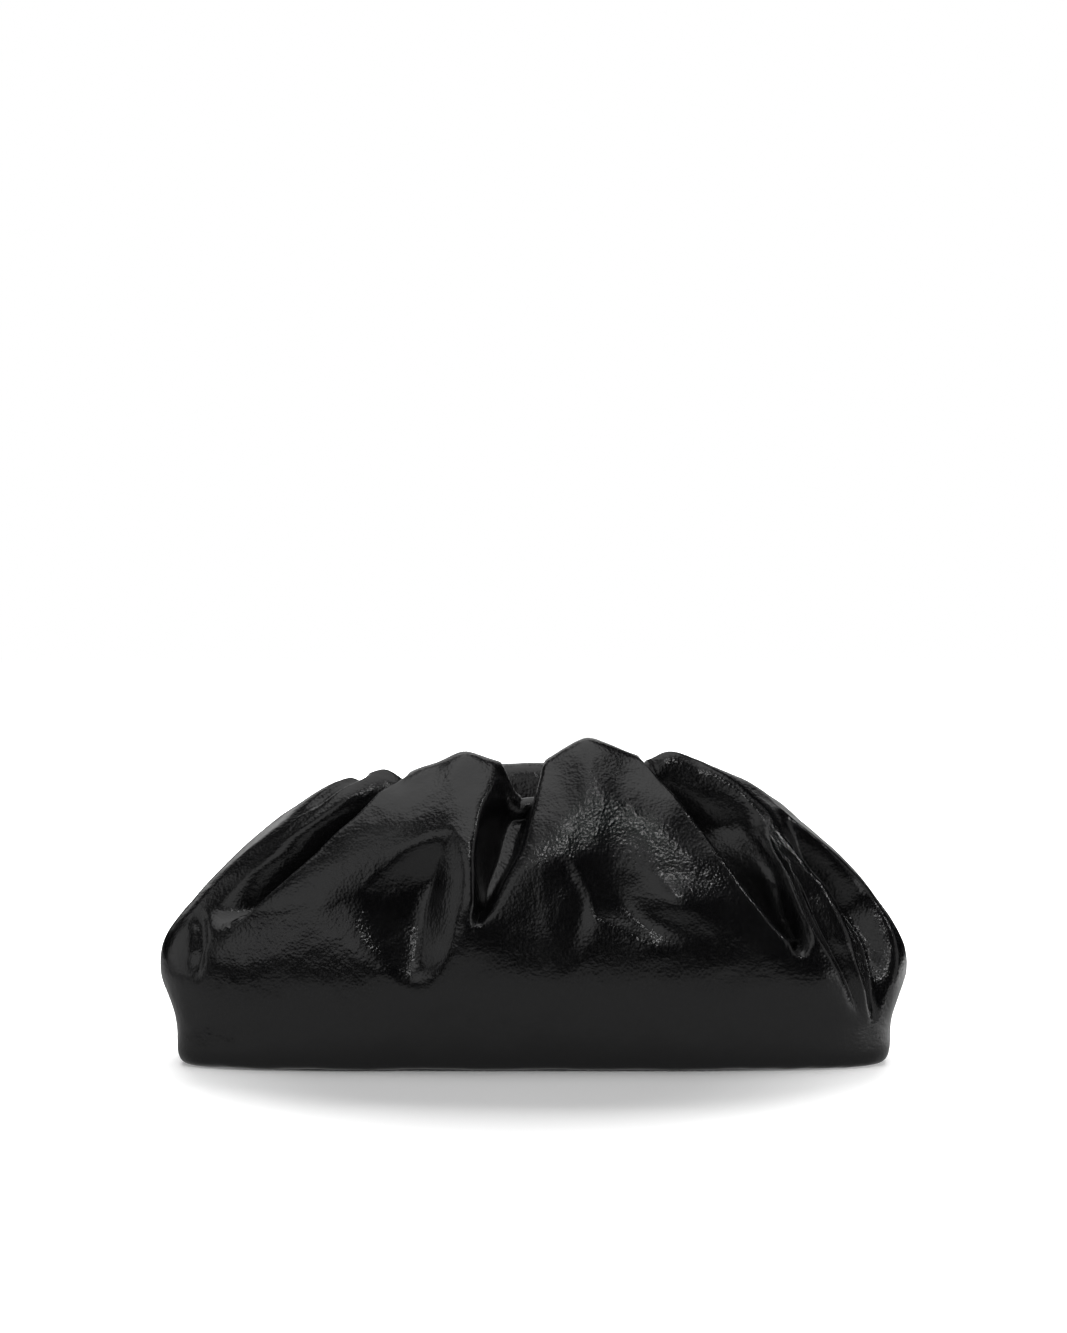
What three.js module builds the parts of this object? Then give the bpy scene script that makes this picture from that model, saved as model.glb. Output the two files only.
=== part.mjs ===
// A soft leather clutch bag: two gathered walls, a flat base and the hidden frame of its mouth.
// Millimetres. +X runs along the bag, the front faces -Y, +Z is up, and the bag stands on z = 0.
import * as THREE from 'three';

// Driving sizes
const LEATHER = 1.6;
const SEAM_GAP = 0.3;
const BASE_THICKNESS = 1.8;
const BASE_GAP = 0.4;
const FRAME_BAR = 3.4;
const FRAME_HEIGHT = 5.0;
const FRAME_BOTTOM = 90.5;
const FRAME_HALF_LENGTH = 98.2;
const FRAME_HALF_DEPTH = 10.5;
const FRONT_COLUMNS = 64;
const BACK_COLUMNS = 46;
const RING_STEPS = 240;
const BASE_STEPS = 72;
const FRAME_ROUND_STEPS = 10;
const ARCH = 2.7;
const RIM_REACH_OUT = 14;
const RIM_REACH_IN = 4;
const LIP_REACH = 6;
const FARTHEST_OUT = 3;
const LIP_END_FADE = 0.7;
const SEAM_SHARE = 0.03;
const GUIDE_RELAX = 30;
const NARROWEST = 0.004;
const PROBE = 0.01;
const TINY = 1e-6;

// Rings of the unfolded wall, from the hem under the base over the crest and down into the mouth.
// steps is how many rows of facets reach the next ring.
const RINGS = table(
  ['name', 'halfLength', 'halfDepth', 'zMid', 'zEnd', 'squareness', 'steps'],
  [
    ['hem under', 130.0, 33.0, 0.0, 0.0, 5.0, 1],
    ['hem turn', 138.5, 41.0, 0.5, 0.5, 5.0, 1],
    ['hem edge', 141.8, 44.0, 4.5, 4.5, 5.0, 1],
    ['low wall', 143.5, 47.5, 19.0, 17.5, 4.0, 2],
    ['belly', 149.6, 51.0, 38.0, 36.0, 3.2, 3],
    ['middle', 147.2, 49.0, 59.0, 50.0, 2.8, 3],
    ['shoulder', 136.5, 42.0, 82.0, 64.5, 2.6, 3],
    ['upper', 121.5, 32.5, 103.0, 80.5, 2.5, 3],
    ['brow', 108.8, 23.0, 116.0, 92.0, 2.5, 3],
    ['crest', 100.5, 14.5, 122.5, 98.5, 2.5, 2],
    ['lip', 95.0, 8.0, 118.5, 99.0, 2.5, 1],
    ['throat', 92.0, 5.0, 106.0, 96.0, 2.5, 1],
    ['rim', 91.0, 4.0, 89.5, 88.5, 2.5, 0],
  ],
);
const LAST = RINGS.length - 1;
const ringIndex = (name) => RINGS.findIndex((ring) => ring.name === name);
const CREST = ringIndex('crest');
const UPPER = ringIndex('upper');
const SWELL_FROM = ringIndex('shoulder') + 0.2;
const DROP_FROM = ringIndex('middle');

// How much of a fold's depth is left past the crest, where the leather turns over the frame.
const HOLD = table(
  ['ring', 'share'],
  [
    [0, 1],
    [CREST, 1],
    [CREST + 1, 0.85],
    [CREST + 2, 0.35],
    [CREST + 3, 0],
  ],
);

// A fold's sections run from its closed end upward: height on the wall, x, reach to the left and
// right edge, depth, and how far the leather outside each edge is raised (negative rounds down to it).
const SECTION = ['z', 'x', 'left', 'right', 'depth', 'rimLeft', 'rimRight'];
// A fold's style: rounding of its closed end and of its top (0 runs into the mouth), then for the left
// and right side the rounding of the edge, the steepness, the softness and the overhang of the edge.
const STYLE = [
  'name', 'roundEnd', 'roundTop', 'edgeLeft', 'edgeRight', 'steepLeft', 'steepRight',
  'softLeft', 'softRight', 'lipLeft', 'lipRight',
];

const FRONT_FOLDS = [
  fold(['end crease', 8, 10, 0.1, 0.1, 2, 1.6, 0.9, 0, 0, 0], [
    [34, -132.5, 6, 2.5, 0.5, 0, 0.3],
    [43, -130.5, 8, 2.5, 1.8, 0, 0.9],
    [51, -130.5, 8, 2.5, 2, 0, 0.9],
    [62, -133, 6, 2.5, 0.6, 0, 0.3],
  ]),
  fold(['left', 10, 0, 0.22, 0.08, 1.3, 3, 0.1, 0, 0, 4.5], [
    [54, -120.5, 5, 3.5, 0.5, 0, 0.3],
    [58, -115.5, 9, 3.5, 3, 0, 1],
    [62, -111, 12, 3.8, 6.5, 0, 1.8],
    [66, -106.5, 14.5, 4, 10, 0, 2],
    [70, -102, 16, 4, 12.5, 0, 2],
    [76, -95.5, 17, 4, 14, 0, 2],
    [84, -87, 16.5, 4, 14, 0, 1.5],
    [92, -79, 15, 4, 12.5, 0, 1],
    [100, -70, 12.5, 4.5, 10, 0, 0],
    [114, -51, 9, 5, 5.5, -1, -1.5],
  ]),
  fold(['left small', 14, 0, 0.1, 0.1, 2, 2, 0.7, 0.3, 0, 1], [
    [98, -93, 6, 4, 1.2, 0, 0],
    [112, -69, 5, 4, 2.5, -0.5, -0.5],
  ]),
  fold(['middle', 7, 0, 0.08, 0.08, 1.4, 7, 0, 0, 2, 3], [
    [58, -22.5, 4, 5, 6, 3, 1.5],
    [66, -21, 4.5, 8, 9, 4, 1.5],
    [76, -18.5, 7, 10, 12, 4, 1.5],
    [89, -14.5, 10.5, 13, 14, 3.5, 1],
    [100, -12, 11, 13, 15, 1.5, 0],
    [109, -9, 10.5, 12, 15.5, 0, -1],
    [117, -5, 10, 11, 16, -1, -3],
  ]),
  fold(['flank left', 14, 12, 0.25, 0.08, 1.15, 1.1, 0.5, 0, 0, 0], [
    [30, -45, 7, 5, 0.3, 0, 0],
    [38, -44.7, 11, 8, 2.4, 0, 0],
    [48, -44.2, 21, 12, 6, 0, 0],
    [58, -43.5, 29, 13, 8.5, 0, 0],
    [67, -42.3, 32, 13, 9, 0, 0],
    [77, -40, 25, 11, 8.5, 0, 0],
    [87, -37, 16, 7, 4.5, 0, 0],
    [95, -34, 9, 4, 1.2, 0, 0],
  ]),
  fold(['dent', 10, 10, 0.06, 0.1, 1.1, 2, 0, 1, 0, 0], [
    [36, 8, 3, 6, 0.2, 0, 0],
    [46, 12, 6.5, 11, 0.4, 0, 0],
    [56, 16.5, 11.5, 9, 0.8, 0, 0],
    [63, 19, 14, 5, 1.3, 0, 0],
    [71, 17.5, 12.5, 5, 1.3, 0, 0],
    [78, 14, 9, 4, 0.9, 0, 0],
    [86, 10, 5, 3, 0.2, 0, 0],
  ]),
  fold(['slanting dent', 10, 10, 0.08, 0.1, 1.1, 2, 0.1, 1, 0, 0], [
    [45, 52, 4, 14, 0.2, 0, 0],
    [51, 48.5, 6, 18, 0.9, 0, 0],
    [57, 44, 9, 20, 2.2, 0, 0],
    [63, 38.5, 12.5, 22, 2.9, 0, 0],
    [72, 31, 9.5, 20, 2.2, 0, 0],
    [80, 24, 6, 16, 0.9, 0, 0],
    [87, 19, 4, 12, 0.2, 0, 0],
  ]),
  fold(['bulge', 18, 18, 0.1, 0.1, 2, 2, 1, 1, 0, 0], [
    [48, 61, 18, 18, -0.5, 0, 0],
    [64, 57, 20, 20, -2, 0, 0],
    [82, 50, 16, 18, -0.5, 0, 0],
  ]),
  fold(['right', 7, 0, 0.08, 0.12, 3, 1.8, 0, 0.1, 5.5, 1], [
    [45, 103.5, 4.5, 4, 6, 2, 1.5],
    [52, 99, 5, 8, 9, 2, 2],
    [61, 91.5, 5.5, 12, 11, 2, 2],
    [70, 84.5, 6, 15, 12, 2, 2],
    [82, 76, 6, 17.5, 13, 1.5, 2.5],
    [92, 69, 6, 21, 14, 0.5, 2.5],
    [107, 57, 7, 27, 15, -1, 2],
    [119, 45, 8, 20, 4.5, -2, 0],
  ]),
  fold(['right mid', 10, 16, 0.1, 0.1, 2.4, 1.3, 0, 0.3, 1, 0], [
    [20, 127.5, 2.5, 4, 0.8, 0, 0],
    [34.5, 123, 3, 6, 2.6, 0.4, 0],
    [45, 118.2, 3.5, 8, 3.4, 0.4, 0],
    [56.5, 112.3, 4, 9, 3.2, 0.3, 0],
    [73.5, 104.5, 4, 8, 2.4, 0, 0],
    [85, 98, 4, 7, 1.6, 0, 0],
    [93, 94, 3, 5, 0.5, 0, 0],
  ]),
  fold(['right end', 12, 16, 0.1, 0.12, 1.5, 1.6, 0.2, 0.5, 0, 0], [
    [17, 133, 3, 4, 1, 0, 0],
    [22, 135, 5, 6, 3, 0.5, 0],
    [33, 137, 9, 9, 6, 1, 0],
    [41, 137.7, 13, 11, 8, 1, 0],
    [50, 137, 16, 11, 9, 1, 0.5],
    [58, 134.3, 17, 10, 9, 1, 1],
    [67, 128.9, 16, 8.5, 9, 1, 1.5],
    [76, 120, 13, 7, 8, 0.5, 2],
    [85, 111, 11, 6, 6, 0, 2],
    [92, 104, 8, 5, 3.5, 0, 1.5],
    [98, 97.5, 6, 4, 1.5, 0, 1],
  ]),
];

const BACK_FOLDS = [
  fold(['left', 12, 0, 0.08, 0.12, 3, 1.7, 0, 0.5, 5, 1], [
    [52, -106, 10, 8, 8, 1.5, 0],
    [75, -88, 11, 16, 11, 1, 0],
    [97, -68, 11, 14, 10, 0, 0],
    [112, -54, 10, 9, 5, -1, -1],
  ]),
  fold(['middle left', 12, 0, 0.1, 0.1, 2, 3, 0.4, 0, 1, 4], [
    [74, -40, 9, 9, 7, 0, 1.5],
    [95, -32, 9, 9, 9, 0, 1],
    [110, -24, 8, 8, 9, -1, -1],
  ]),
  fold(['middle', 10, 0, 0.08, 0.08, 2.4, 2.8, 0.1, 0, 4, 4], [
    [56, 20, 12, 11, 8, 2, 2],
    [78, 20, 18, 14, 12, 2, 2],
    [100, 18, 15, 13, 14, 0, 0],
    [112, 16, 10, 10, 12, -1, -1],
  ]),
  fold(['right', 12, 0, 0.12, 0.08, 1.7, 3, 0.5, 0, 0, 5], [
    [60, 96, 8, 10, 8, 0, 1.5],
    [82, 78, 16, 11, 11, 0, 1],
    [98, 62, 14, 11, 9, 0, 0],
    [112, 48, 8, 9, 4, -1, -1],
  ]),
  fold(['right end', 16, 0, 0.1, 0.1, 1.8, 2, 0.8, 0.4, 0, 1], [
    [36, 128, 8, 8, 5, 0, 0.5],
    [68, 113, 10, 7, 6, 0, 1.5],
    [102, 82, 6, 5, 3, 0, 1],
  ]),
];

// How far the crest swells up or sags along the bag.
const FRONT_SWELL = table(
  ['x', 'rise'],
  [
    [-101, 0], [-84, 1.5], [-76, 2.5], [-68, 1.5], [-58, 2], [-48, -2], [-40, -0.5], [-27, 3], [-17, -1],
    [0, 0], [8, 2.5], [14, 6.5], [21, 8.5], [27, 7.5], [36, 4.5], [44, 5], [53, 9], [66, 5.5], [82, 5],
    [92, 4], [101, 2.5],
  ],
);
const BACK_SWELL = table(
  ['x', 'rise'],
  [
    [-101, 0], [-60, 0], [-44, 3.5], [-32, 1], [-20, 2], [-9, 3], [0, 3], [15, 2], [28, 4], [35, 9],
    [42, 4], [50, 2], [65, 4], [80, 1], [101, 0],
  ],
);

// Columns of facets that run along a fold: at -1 its left edge, at 0 its floor, at 1 its right edge.
const GUIDE = ['fold', 'at', 'column'];
const FRONT_GUIDES = table(GUIDE, [
  ['left', 0, 11],
  ['left', 1, 13],
  ['flank left', 0, 23],
  ['middle', -1, 26],
  ['middle', 0, 29],
  ['middle', 1, 33],
  ['right', -1, 44],
  ['right', 0, 45],
  ['right', 1, 49],
  ['right mid', 0, 51],
  ['right end', -1, 54],
  ['right end', 0, 58],
]);
const BACK_GUIDES = table(GUIDE, [
  ['left', -1, 7],
  ['left', 0, 10],
  ['middle', -1, 21],
  ['middle', 0, 24],
  ['middle', 1, 27],
  ['right', 0, 36],
  ['right', 1, 39],
]);

const FRONT = {
  side: -1,
  folds: FRONT_FOLDS,
  swell: FRONT_SWELL,
  crestDrop: 0,
  guides: FRONT_GUIDES,
  columns: FRONT_COLUMNS,
};
const BACK = {
  side: 1,
  folds: BACK_FOLDS,
  swell: BACK_SWELL,
  crestDrop: 7,
  guides: BACK_GUIDES,
  columns: BACK_COLUMNS,
};

// Helpers for tables and curves

function table(columns, rows) {
  return rows.map((row) => Object.fromEntries(columns.map((name, i) => [name, row[i]])));
}

function fold(style, sections) {
  return { style: table(STYLE, [style])[0], sections: table(SECTION, sections) };
}

const smooth = (x) => THREE.MathUtils.smoothstep(x, 0, 1);
const blend = (a, b, share) => THREE.MathUtils.lerp(a, b, share);
const signedPower = (x, power) => Math.sign(x) * Math.abs(x) ** power;
const gauss = (x, reach) => Math.exp(-((x / reach) ** 2));
// x where it is positive and 0 elsewhere, with the corner rounded.
const ramp = (x, rounding) => 0.5 * (x + Math.hypot(x, rounding));

// A smooth curve through uneven stations, held at both ends.
function curve(stations, values, at) {
  const last = stations.length - 1;
  const secant = (i) => (values[i + 1] - values[i]) / (stations[i + 1] - stations[i]);
  const slope = (i) => {
    if (i === 0) return secant(0);
    if (i === last) return secant(last - 1);
    const before = stations[i] - stations[i - 1];
    const after = stations[i + 1] - stations[i];
    return (secant(i - 1) * after + secant(i) * before) / (before + after);
  };
  const x = THREE.MathUtils.clamp(at, stations[0], stations[last]);
  let i = 0;
  while (i < last - 1 && x > stations[i + 1]) i += 1;
  const span = stations[i + 1] - stations[i];
  const t = (x - stations[i]) / span;
  const rest = 1 - t;
  return (1 + 2 * t) * rest * rest * values[i] + t * rest * rest * span * slope(i)
    + t * t * (3 - 2 * t) * values[i + 1] - t * t * rest * span * slope(i + 1);
}

const column = (rows, name) => rows.map((row) => row[name]);
const RING_NUMBERS = RINGS.map((ring, i) => i);
const ringSize = (name, v) => curve(RING_NUMBERS, column(RINGS, name), v);

// The unfolded wall

// Half a ring at ring number v, as points with their running share of its length.
function halfRing(v, wall) {
  const halfLength = ringSize('halfLength', v);
  const halfDepth = ringSize('halfDepth', v);
  const power = 2 / ringSize('squareness', v);
  const zEnd = ringSize('zEnd', v);
  const falling = smooth((v - DROP_FROM) / (CREST - DROP_FROM)) * (1 - smooth((v - CREST) / (LAST - CREST)));
  const rise = ringSize('zMid', v) - zEnd - wall.crestDrop * falling;
  const points = [];
  const runs = [0];
  for (let i = 0; i <= RING_STEPS; i += 1) {
    const turn = Math.PI * (1 - i / RING_STEPS);
    const x = halfLength * signedPower(Math.cos(turn), power);
    const y = -halfDepth * signedPower(Math.sin(turn), power);
    const z = zEnd + rise * (1 - Math.abs(x / halfLength) ** ARCH);
    points.push(new THREE.Vector3(x, y, z));
    if (i > 0) runs.push(runs[i - 1] + points[i].distanceTo(points[i - 1]));
  }
  const length = runs[RING_STEPS];
  return { points, shares: runs.map((run) => run / length), length, halfLength };
}

function between(keys, at) {
  let i = 0;
  while (i < keys.length - 2 && at > keys[i + 1]) i += 1;
  return { i, t: (at - keys[i]) / Math.max(keys[i + 1] - keys[i], TINY) };
}

function pointAtShare(ring, share) {
  const { i, t } = between(ring.shares, share);
  return ring.points[i].clone().lerp(ring.points[i + 1], t);
}

function shareAtX(ring, x) {
  const inside = THREE.MathUtils.clamp(x, -ring.halfLength, ring.halfLength);
  const { i, t } = between(column(ring.points, 'x'), inside);
  return blend(ring.shares[i], ring.shares[i + 1], t);
}

// Ring numbers of the rows of facets.
function rowNumbers() {
  const rows = [];
  RINGS.forEach((ring, i) => {
    for (let step = 0; step < ring.steps; step += 1) rows.push(i + step / ring.steps);
  });
  return [...rows, LAST];
}

// The rows with their ring, the neighbouring rings that give its slope, and the distance climbed
// up the middle of the wall.
function climbRows(wall) {
  let climbed = 0;
  let before = null;
  return rowNumbers().map((v) => {
    const ring = halfRing(v, wall);
    const middle = pointAtShare(ring, 0.5);
    if (before) climbed += middle.distanceTo(before);
    before = middle;
    const lower = halfRing(Math.max(v - PROBE, 0), wall);
    const higher = halfRing(Math.min(v + PROBE, LAST), wall);
    return { v, ring, lower, higher, climbed };
  });
}

// Distance climbed where the wall at x stands at height z, below the crest.
function climbAt(rows, x, z) {
  const below = rows.filter((row) => row.v <= CREST);
  const heights = below.map((row) => pointAtShare(row.ring, shareAtX(row.ring, x)).z);
  const { i, t } = between(heights, THREE.MathUtils.clamp(z, heights[0], heights[heights.length - 1]));
  return blend(below[i].climbed, below[i + 1].climbed, t);
}

// Folds

// A fold ready to be read at any row: its sections placed by the distance climbed.
function placeFold(rows, { style, sections }) {
  const crestClimb = rows.find((row) => row.v === CREST).climbed;
  const toMouth = style.roundTop === 0;
  const climbs = sections.map((section) => climbAt(rows, section.x, section.z));
  if (toMouth) climbs[climbs.length - 1] = crestClimb;
  const read = (name, climbed) => curve(climbs, column(sections, name), climbed);
  const startSlope = (sections[1].x - sections[0].x) / (climbs[1] - climbs[0]);
  const pathX = (climbed) => read('x', climbed) + startSlope * Math.min(0, climbed - climbs[0]);
  const lean = (climbed) => (pathX(climbed + 1) - pathX(climbed - 1)) / 2;
  return { style, climbs, toMouth, read, pathX, lean };
}

// Where a fold runs at a row: the share of its floor, and the length of wall that one share unit spans
// square to the fold.
function foldLine(placed, row) {
  const narrowing = row.v > CREST ? row.ring.halfLength / RINGS[CREST].halfLength : 1;
  const centre = shareAtX(row.ring, placed.pathX(row.climbed) * narrowing);
  const upright = 1 / Math.hypot(1, row.v > CREST ? 0 : placed.lean(row.climbed));
  return { centre, span: row.ring.length * upright };
}

// Shares of a row's columns: the guided columns follow their folds and spread out evenly below them.
function columnShares(wall, folds, row) {
  const columns = [0];
  const shares = [0];
  wall.guides.forEach((guide) => {
    const placed = folds.find((one) => one.style.name === guide.fold);
    const { centre, span } = foldLine(placed, row);
    const reach = guide.at < 0 ? placed.read('left', row.climbed) : placed.read('right', row.climbed);
    const below = smooth((placed.climbs[0] - row.climbed) / GUIDE_RELAX);
    const share = blend(centre + (guide.at * reach) / span, guide.column / wall.columns, below);
    const step = guide.column - columns[columns.length - 1];
    shares.push(Math.max(share, shares[shares.length - 1] + NARROWEST * step));
    columns.push(guide.column);
  });
  columns.push(wall.columns);
  shares.push(1);
  return [...Array(wall.columns + 1).keys()].map((number) => {
    const { i, t } = between(columns, number);
    return blend(shares[i], shares[i + 1], t);
  });
}

// What one fold does to the wall at a row and a share: depth pressed in, and the shift of its
// overhanging edge across and up the wall.
function foldAt(placed, row, share) {
  const { style, climbs, toMouth, read } = placed;
  const { climbed } = row;
  const { centre, span } = foldLine(placed, row);
  const aside = (share - centre) * span;
  const left = read('left', climbed);
  const right = read('right', climbed);
  const reach = aside > 0 ? right : left;
  const fromEnd = climbed - climbs[0];
  const fromTop = climbs[climbs.length - 1] - climbed;
  const endPart = Math.max(0, 1 - fromEnd / style.roundEnd);
  const topPart = toMouth ? 0 : Math.max(0, 1 - fromTop / style.roundTop);
  const out = Math.hypot(aside / reach, Math.max(endPart, topPart));
  const rightPart = smooth(0.5 + (0.5 * aside) / reach / (out + TINY));
  const mix = (name) => blend(style[`${name}Left`], style[`${name}Right`], rightPart);

  const steep = mix('steep');
  const hard = ramp(1 - Math.min(out, FARTHEST_OUT) ** steep, mix('edge') * steep) / ramp(1, style.edgeLeft);
  const soft = 0.5 * (1 + Math.cos(Math.PI * Math.min(out, 1)));
  const pressed = read('depth', climbed) * blend(hard, soft, mix('soft'));

  const away = (out - 1) * blend(left, right, rightPart);
  const rim = blend(read('rimLeft', climbed), read('rimRight', climbed), rightPart);
  const raised = rim * gauss(away, away > 0 ? RIM_REACH_OUT : RIM_REACH_IN);

  const slopeAcross = aside / reach ** 2;
  const slopeUp = topPart / (style.roundTop || 1) - endPart / style.roundEnd;
  const lip = mix('lip') * (1 - LIP_END_FADE * Math.min(endPart, 1)) * gauss(away, LIP_REACH);
  const overhang = lip / (Math.hypot(slopeAcross, slopeUp) + TINY);
  return { depth: pressed - raised, across: -overhang * slopeAcross, up: -overhang * slopeUp };
}

// The folded wall as rows of points, front side, before it is turned to its own side.
function foldedGrid(wall) {
  const rows = climbRows(wall);
  const folds = wall.folds.map((one) => placeFold(rows, one));
  const swellX = column(wall.swell, 'x');
  const swellRise = column(wall.swell, 'rise');
  const down = new THREE.Vector3(0, 0, -1);
  return rows.map((row) => {
    const hold = curve(column(HOLD, 'ring'), column(HOLD, 'share'), row.v);
    const over = smooth((row.v - UPPER) / (CREST - UPPER));
    const swelling = smooth((row.v - SWELL_FROM) / (CREST - SWELL_FROM));
    return columnShares(wall, folds, row).map((share) => {
      const point = pointAtShare(row.ring, share);
      const across = pointAtShare(row.ring, Math.min(share + PROBE, 1));
      across.sub(pointAtShare(row.ring, Math.max(share - PROBE, 0))).normalize();
      const climb = pointAtShare(row.higher, share).sub(pointAtShare(row.lower, share)).normalize();
      const inward = climb.clone().cross(across).normalize();
      climb.crossVectors(across, inward);
      inward.lerp(down, over).normalize();
      const free = hold * smooth(Math.min(share, 1 - share) / SEAM_SHARE);
      point.z += free * swelling * curve(swellX, swellRise, point.x);
      folds.forEach((placed) => {
        const shift = foldAt(placed, row, share);
        point.addScaledVector(inward, free * shift.depth);
        point.addScaledVector(across, free * shift.across);
        point.addScaledVector(climb, free * shift.up);
      });
      return point;
    });
  });
}

// Solids

// Outward normals of a grid of points. Along the seams they have no part across the seam, and along the
// hem they point straight down, so that both edges of the leather are square.
function gridNormals(grid) {
  const lastRow = grid.length - 1;
  const lastColumn = grid[0].length - 1;
  return grid.map((points, j) => points.map((point, i) => {
    const across = points[Math.min(i + 1, lastColumn)].clone().sub(points[Math.max(i - 1, 0)]);
    const climb = grid[Math.min(j + 1, lastRow)][i].clone().sub(grid[Math.max(j - 1, 0)][i]);
    const normal = across.cross(climb);
    if (j === 0) normal.set(0, 0, -1);
    if (i === 0 || i === lastColumn) normal.y = 0;
    return normal.normalize();
  }));
}

// A closed leather sheet: the grid outside, the same grid one thickness inside, and the edges between.
function leatherGeometry(wall) {
  const outer = foldedGrid(wall);
  const normals = gridNormals(outer);
  const inner = outer.map((points, j) => points.map(
    (point, i) => point.clone().addScaledVector(normals[j][i], -LEATHER),
  ));
  const rowCount = outer.length;
  const columnCount = outer[0].length;
  const positions = [];
  [outer, inner].forEach((grid) => grid.flat().forEach((point) => {
    positions.push(point.x, -wall.side * (point.y - SEAM_GAP / 2), Math.max(point.z, 0));
  }));
  const outside = (j, i) => j * columnCount + i;
  const inside = (j, i) => rowCount * columnCount + j * columnCount + i;
  const faces = [];
  const quad = (a, b, c, d) => faces.push([a, b, c], [a, c, d]);
  for (let j = 0; j + 1 < rowCount; j += 1) {
    for (let i = 0; i + 1 < columnCount; i += 1) {
      quad(outside(j, i), outside(j, i + 1), outside(j + 1, i + 1), outside(j + 1, i));
      quad(inside(j, i), inside(j + 1, i), inside(j + 1, i + 1), inside(j, i + 1));
    }
  }
  const top = rowCount - 1;
  const end = columnCount - 1;
  for (let i = 0; i < end; i += 1) {
    quad(outside(0, i), inside(0, i), inside(0, i + 1), outside(0, i + 1));
    quad(outside(top, i), outside(top, i + 1), inside(top, i + 1), inside(top, i));
  }
  for (let j = 0; j < top; j += 1) {
    quad(outside(j, 0), outside(j + 1, 0), inside(j + 1, 0), inside(j, 0));
    quad(outside(j, end), inside(j, end), inside(j + 1, end), outside(j + 1, end));
  }
  const turned = wall.side < 0 ? faces : faces.map(([a, b, c]) => [a, c, b]);
  const geometry = new THREE.BufferGeometry();
  geometry.setAttribute('position', new THREE.Float32BufferAttribute(positions, 3));
  geometry.setIndex(turned.flat());
  geometry.computeVertexNormals();
  return geometry;
}

// The flat base, in the opening that the hem leaves.
function baseGeometry() {
  const [hem] = RINGS;
  const outline = [];
  for (let i = 0; i < BASE_STEPS; i += 1) {
    const turn = (2 * Math.PI * i) / BASE_STEPS;
    const power = 2 / hem.squareness;
    outline.push(new THREE.Vector2(
      (hem.halfLength - BASE_GAP) * signedPower(Math.cos(turn), power),
      (hem.halfDepth - BASE_GAP) * signedPower(Math.sin(turn), power),
    ));
  }
  return new THREE.ExtrudeGeometry(new THREE.Shape(outline), { depth: BASE_THICKNESS, bevelEnabled: false });
}

// A flat loop with round ends, as a shape or as a hole.
function loop(path, halfLength, halfDepth) {
  const centre = halfLength - halfDepth;
  path.absarc(centre, 0, halfDepth, -Math.PI / 2, Math.PI / 2, false);
  path.absarc(-centre, 0, halfDepth, Math.PI / 2, (3 * Math.PI) / 2, false);
  path.closePath();
  return path;
}

// The closing frame under the gathers, one plain ring round the mouth.
function frameGeometry() {
  const ring = loop(new THREE.Shape(), FRAME_HALF_LENGTH, FRAME_HALF_DEPTH);
  ring.holes.push(loop(new THREE.Path(), FRAME_HALF_LENGTH - FRAME_BAR, FRAME_HALF_DEPTH - FRAME_BAR));
  const geometry = new THREE.ExtrudeGeometry(ring, {
    depth: FRAME_HEIGHT,
    bevelEnabled: false,
    curveSegments: FRAME_ROUND_STEPS,
  });
  return geometry.translate(0, 0, FRAME_BOTTOM);
}

function leather(color) {
  return new THREE.MeshStandardMaterial({ color, roughness: 0.3, metalness: 0 });
}

function piece(name, geometry, material) {
  const mesh = new THREE.Mesh(geometry, material);
  mesh.name = name;
  return mesh;
}

const bag = new THREE.Group();
bag.name = 'clutch_bag';
bag.add(piece('front_panel', leatherGeometry(FRONT), leather(0x0b0b0c)));
bag.add(piece('back_panel', leatherGeometry(BACK), leather(0x0b0b0c)));
bag.add(piece('base_panel', baseGeometry(), leather(0x0d0d0e)));
bag.add(piece('mouth_frame', frameGeometry(),
  new THREE.MeshStandardMaterial({ color: 0x8a8a8c, roughness: 0.4, metalness: 1 })));

export default bag;
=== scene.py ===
"""Looks of a soft leather clutch bag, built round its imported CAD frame.

The leather is worked out in millimetres from the same rings and folds as the part's own solids, only finer,
and with the small ripples and creases that solids leave out. Blender's objects are in metres.
"""
import math

import bpy
import numpy as np
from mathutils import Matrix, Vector


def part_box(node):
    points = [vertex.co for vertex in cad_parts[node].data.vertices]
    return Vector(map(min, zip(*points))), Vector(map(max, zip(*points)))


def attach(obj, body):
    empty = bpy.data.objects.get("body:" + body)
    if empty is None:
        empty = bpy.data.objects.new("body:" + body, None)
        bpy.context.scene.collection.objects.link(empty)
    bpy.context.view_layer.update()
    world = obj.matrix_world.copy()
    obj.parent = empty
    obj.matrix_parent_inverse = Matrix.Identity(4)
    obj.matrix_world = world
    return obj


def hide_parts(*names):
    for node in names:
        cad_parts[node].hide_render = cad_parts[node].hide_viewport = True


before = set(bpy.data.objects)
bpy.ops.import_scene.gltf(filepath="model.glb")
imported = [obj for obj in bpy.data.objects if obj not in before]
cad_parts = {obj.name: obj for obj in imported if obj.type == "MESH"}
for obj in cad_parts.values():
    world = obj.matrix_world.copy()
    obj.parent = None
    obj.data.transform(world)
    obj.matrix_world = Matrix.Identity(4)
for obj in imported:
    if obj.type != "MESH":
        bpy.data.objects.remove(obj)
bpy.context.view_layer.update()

# Driving sizes, in millimetres
MM = 0.001
LEATHER = 1.6
BASE_EDGE = 0.6
# A fold's edge: reach of the raised leather outside and inside it, reach of the overhang, and the share
# of the overhang that is gone at the fold's closed end.
RIM_REACH_OUT = 14.0
RIM_REACH_IN = 4.0
LIP_REACH = 6.0
LIP_END_FADE = 0.7
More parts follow.
